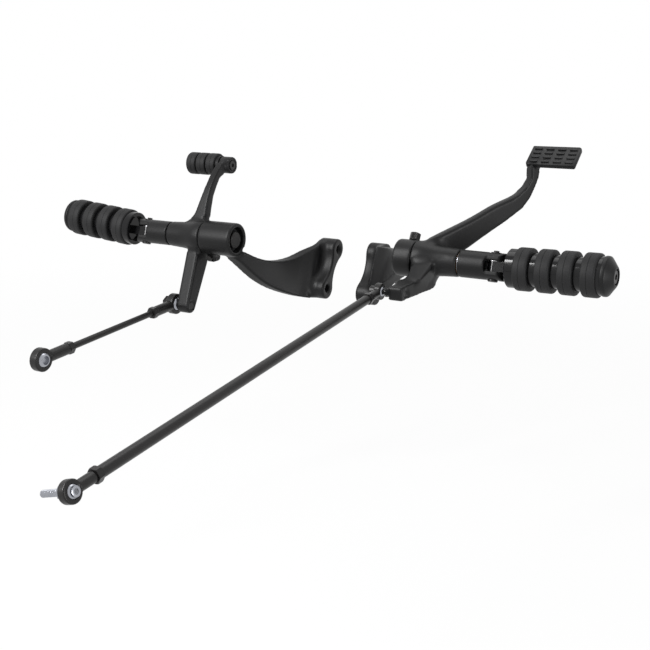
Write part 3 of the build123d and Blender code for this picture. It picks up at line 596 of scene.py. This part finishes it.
for side in ("left", "right"):
    peg_axis = line_through(side + "_peg_ring_1", side + "_peg_ring_4")
    for index in range(1, 5):
        rubber_ring(f"{side}_peg_ring_{index}", *peg_axis, SHOULDER)
toe_axis = line_through("toe_peg_ring_1", "toe_peg_ring_3")
for index in range(1, 4):
    rubber_ring(f"toe_peg_ring_{index}", *toe_axis, TOE_SHOULDER)

# %% [markdown]
# The caps are cones with a bored nose for the screw. Their outer edges are eased by about a millimetre. The
# washers are drawn a little smaller than the solids, which leaves a thin bright line between lever and
# clevis.
# %% Caps and washers
CAP_STRAIGHT, CAP_NOSE, RECESS, RECESS_DEPTH = 3.8, 8.9, 7.3, 4.4
WASHER_INSET, WASHER_EASE = 1.6, 0.2

for side in ("left", "right"):
    start, along = line_through(side + "_peg_ring_1", side + "_peg_ring_4")
    low, high, bore, outer = reach(side + "_peg_cap", start, along)
    turned(side + "_cap_turned", side + "_peg_cap",
           [(low, bore, 0), (low, outer, 0.8), (low + CAP_STRAIGHT, outer, 1.4), (high, CAP_NOSE, 1.1),
            (high, RECESS, 0.5), (high - RECESS_DEPTH, RECESS, 0.4), (high - RECESS_DEPTH, bore, 0)],
           start, along)
    along = Vector((1.0, 0.0, 0.0))
    low, high, bore, outer = reach(side + "_thrust_washer", pivot, along)
    rim = outer - WASHER_INSET
    turned(side + "_washer_turned", side + "_thrust_washer",
           [(low, bore, 0), (low, rim, WASHER_EASE), (high, rim, WASHER_EASE), (high, bore, 0)], pivot, along)

# %% [markdown]
# ## Threads and knurls
# A thread is a helix: the radius at a place depends on how far along it lies and on the angle about the
# axis. A knurl depends on the angle alone. One function makes both from a rule that gives the radius.
# %% Patterned bars
def bar_into(shape, start, along, length, radius_at, rows, around):
    """Adds a closed bar whose radius in millimetres is radius_at(distance, angle)."""
    side = along.orthogonal().normalized()
    up = along.cross(side)
    rings = []
    for row in range(rows + 1):
        distance = length * row / rows
        ring = []
        for step in range(around):
            angle = 2 * math.pi * step / around
            arm = (side * math.cos(angle) + up * math.sin(angle)) * radius_at(distance, angle)
            ring.append(shape.verts.new(start + (along * distance + arm) * MM))
        rings.append(ring)
    for first, second in zip(rings, rings[1:]):
        for step in range(around):
            shape.faces.new((first[step], first[step - 1], second[step - 1], second[step]))
    shape.faces.new(rings[0])
    shape.faces.new(rings[-1][::-1])


STUD_RADIUS, THREAD_PITCH, THREAD_DEPTH, THREAD_END, END_CHAMFER = 2.5, 0.8, 0.42, 0.6, 0.5
NECK_RADIUS, NECK_OVERLAP, BOLT_HEAD, BOLT_CHAMFER = 2.0, 0.3, 1.6, 0.4
CHAMFER_LENGTH = 0.2
stud_axis = Vector(mounts["brake_rod_stud"]["axis"]).normalized()
stud_middle = Vector(mounts["brake_rod_stud"]["pos_m"])
stud_length = mounts["brake_rod_stud"]["dims"]["length_mm"]
bolt_start, _, _, bolt_radius = reach("brake_rear_bolt", stud_middle, stud_axis)


def thread(distance, angle):
    """Radius of a V thread, run out over its last turn at both ends."""
    turn = (distance / THREAD_PITCH - angle / (2 * math.pi)) % 1.0
    valley = THREAD_DEPTH * abs(2 * turn - 1.0)
    end = min(distance, stud_length - distance) / THREAD_END
    return STUD_RADIUS - valley - END_CHAMFER * max(0.0, 1.0 - end)


def bolt_neck(distance, angle):
    return NECK_RADIUS


def bolt_head(distance, angle):
    return bolt_radius - BOLT_CHAMFER * (distance < CHAMFER_LENGTH)


bolt = bmesh.new()
stud_start = stud_middle - stud_axis * stud_length / 2 * MM
bar_into(bolt, stud_start, stud_axis, stud_length, thread, rows=160, around=24)
bolt_back = stud_middle + stud_axis * bolt_start * MM
neck_length = -bolt_start - stud_length / 2 + NECK_OVERLAP
bar_into(bolt, bolt_back, stud_axis, neck_length, bolt_neck, rows=2, around=24)
bar_into(bolt, bolt_back, stud_axis, BOLT_HEAD, bolt_head, rows=8, around=32)
stand_in("brake_stud_threaded", bolt, "brake_rear_bolt")
print("stud", stud_length, "mm long with", round(stud_length / THREAD_PITCH), "turns of thread")

# %% [markdown]
# The stop screws have socket heads with ribs round their sides. A screw's axis is the long direction of its
# points, and the thicker end is its head.
# %% Stop screws
KNURLS, KNURL_DEPTH, HEAD_RADIUS, HEAD_HEIGHT = 30, 0.35, 5.1, 7.6
PLAIN_RIM, HEAD_CHAMFER, HEAD_CHAMFER_LENGTH = 0.9, 0.5, 0.3
SHANK_RADIUS, SHANK_OVERLAP = 3.0, 0.5


def knurl(distance, angle):
    """Radius of a socket head: ribs round its side and a small chamfer at both ends."""
    end = min(distance, HEAD_HEIGHT - distance)
    valley = KNURL_DEPTH * (0.5 - 0.5 * math.cos(KNURLS * angle)) * (end > PLAIN_RIM)
    return HEAD_RADIUS - valley - HEAD_CHAMFER * (end < HEAD_CHAMFER_LENGTH)


def shank(distance, angle):
    return SHANK_RADIUS - END_CHAMFER * (distance < CHAMFER_LENGTH)


def long_axis(node):
    """Middle of a turned node, and its long direction towards its thicker end."""
    points = points_of(node)
    centre = points.mean(axis=0)
    along = np.linalg.svd(points - centre, full_matrices=False)[2][0]
    out = np.linalg.norm(np.cross(points - centre, along), axis=1)
    thick = points[out > 0.8 * out.max()].mean(axis=0)
    return Vector(centre), Vector(along * np.sign((thick - centre) @ along))


for node in ("shift_stop_screw", "pedal_stop_screw"):
    centre, along = long_axis(node)
    low, high, _, _ = reach(node, centre, along)
    screw = bmesh.new()
    head_start = centre + along * (high - HEAD_HEIGHT) * MM
    bar_into(screw, head_start, along, HEAD_HEIGHT, knurl, rows=24, around=4 * KNURLS)
    shank_length = high - low - HEAD_HEIGHT + SHANK_OVERLAP
    bar_into(screw, centre + along * low * MM, along, shank_length, shank, rows=10, around=24)
    stand_in(node + "_knurled", screw, node)

# %% [markdown]
# ## The studio
# A white sweep: floor and surroundings are white to the camera and in reflections, while a soft world and
# large panels light the black parts. The floor lies well below, because the set is shown held in the air,
# and its shadow fades into white some way out, so that no horizon shows.
# %% Floor
FLOOR_DROP, FLOOR_HALF = 0.30, 6.0
floor_shape = bmesh.new()
bmesh.ops.create_grid(floor_shape, x_segments=2, y_segments=2, size=FLOOR_HALF)
bmesh.ops.translate(floor_shape, verts=floor_shape.verts, vec=(0.0, 0.0, pivot.z - FLOOR_DROP))
floor_mesh = bpy.data.meshes.new("studio_floor")
floor_shape.to_mesh(floor_mesh)
floor_shape.free()
floor = bpy.data.objects.new("studio_floor", floor_mesh)
bpy.context.scene.collection.objects.link(floor)


def seen(tree):
    """1 for what the camera sees, straight or in a mirror or through glass."""
    path = tree.nodes.new("ShaderNodeLightPath")
    names = ("Is Camera Ray", "Is Glossy Ray", "Is Transmission Ray")
    rays = [Wire(tree, path.outputs[name]) for name in names]
    together = rays[0] + rays[1] + rays[2]
    return together.join("MINIMUM", together, 1.0)


paper = Finish("white_paper")
out = paper.node("VectorMath", {"operation": "LENGTH"}, {0: paper.place}, 1)
FADE_START, FADE_END, GLOW_AT_START = 0.5, 1.6, 0.93
fade = paper.node("MapRange", {"interpolation_type": "SMOOTHSTEP"},
                  {"Value": out, "From Min": FADE_START, "From Max": FADE_END,
                   "To Min": GLOW_AT_START, "To Max": 1.0})
matte = paper.node("BsdfDiffuse", sockets={"Color": (0.86, 0.86, 0.86, 1.0)})
glow = paper.node("Emission", sockets={"Color": (1.0, 1.0, 1.0, 1.0), "Strength": 1.0})
blend = paper.node("MixShader", sockets={0: seen(paper.tree) * fade, 1: matte, 2: glow})
paper.tree.links.new(blend.socket, paper.tree.nodes.new("ShaderNodeOutputMaterial").inputs["Surface"])
floor_mesh.materials.append(paper.material)
print("floor", FLOOR_DROP, "m below the pivot axis")

# %% [markdown]
# The world is white to the camera and in mirrors too, but it lights the set softly, at about a third of
# that.
# %% World
SOFT_LIGHT = 0.35
world = bpy.data.worlds.new("studio_world")
bpy.context.scene.world = world
world.use_nodes = True
sky = world.node_tree
sky.nodes.clear()
soft, white = (sky.nodes.new("ShaderNodeBackground") for _ in range(2))
soft.inputs["Strength"].default_value = SOFT_LIGHT
white.inputs["Color"].default_value = soft.inputs["Color"].default_value = (1.0, 1.0, 1.0, 1.0)
mixer = sky.nodes.new("ShaderNodeMixShader")
sky.links.new(seen(sky).socket, mixer.inputs[0])
sky.links.new(soft.outputs[0], mixer.inputs[1])
sky.links.new(white.outputs[0], mixer.inputs[2])
sky.links.new(mixer.outputs[0], sky.nodes.new("ShaderNodeOutputWorld").inputs["Surface"])
print("world at", SOFT_LIGHT)

# %% [markdown]
# Three panels make the highlights. A tall narrow one behind the left peg draws the streaks on the spools, a
# small one on the right lights the ends of the hubs, and a wide weak one above keeps the upper sides from
# going black.
# %% Softboxes
def panel(name, place, width, height, power):
    """A white softbox that faces the set, in metres and watts."""
    light = bpy.data.lights.new(name, "AREA")
    light.shape, light.size, light.size_y, light.energy = "RECTANGLE", width, height, power
    lamp = bpy.data.objects.new(name, light)
    lamp.location = pivot + Vector(place)
    lamp.rotation_euler = (-Vector(place)).to_track_quat("-Z", "Y").to_euler()
    bpy.context.scene.collection.objects.link(lamp)
    print(name, "of", power, "W")


panel("key_softbox", (-0.56, -1.01, 0.78), 0.19, 1.10, 23.0)
panel("side_softbox", (1.46, -0.50, 0.12), 0.16, 0.60, 8.0)
panel("top_panel", (0.0, 0.40, 1.5), 1.0, 1.0, 6.0)
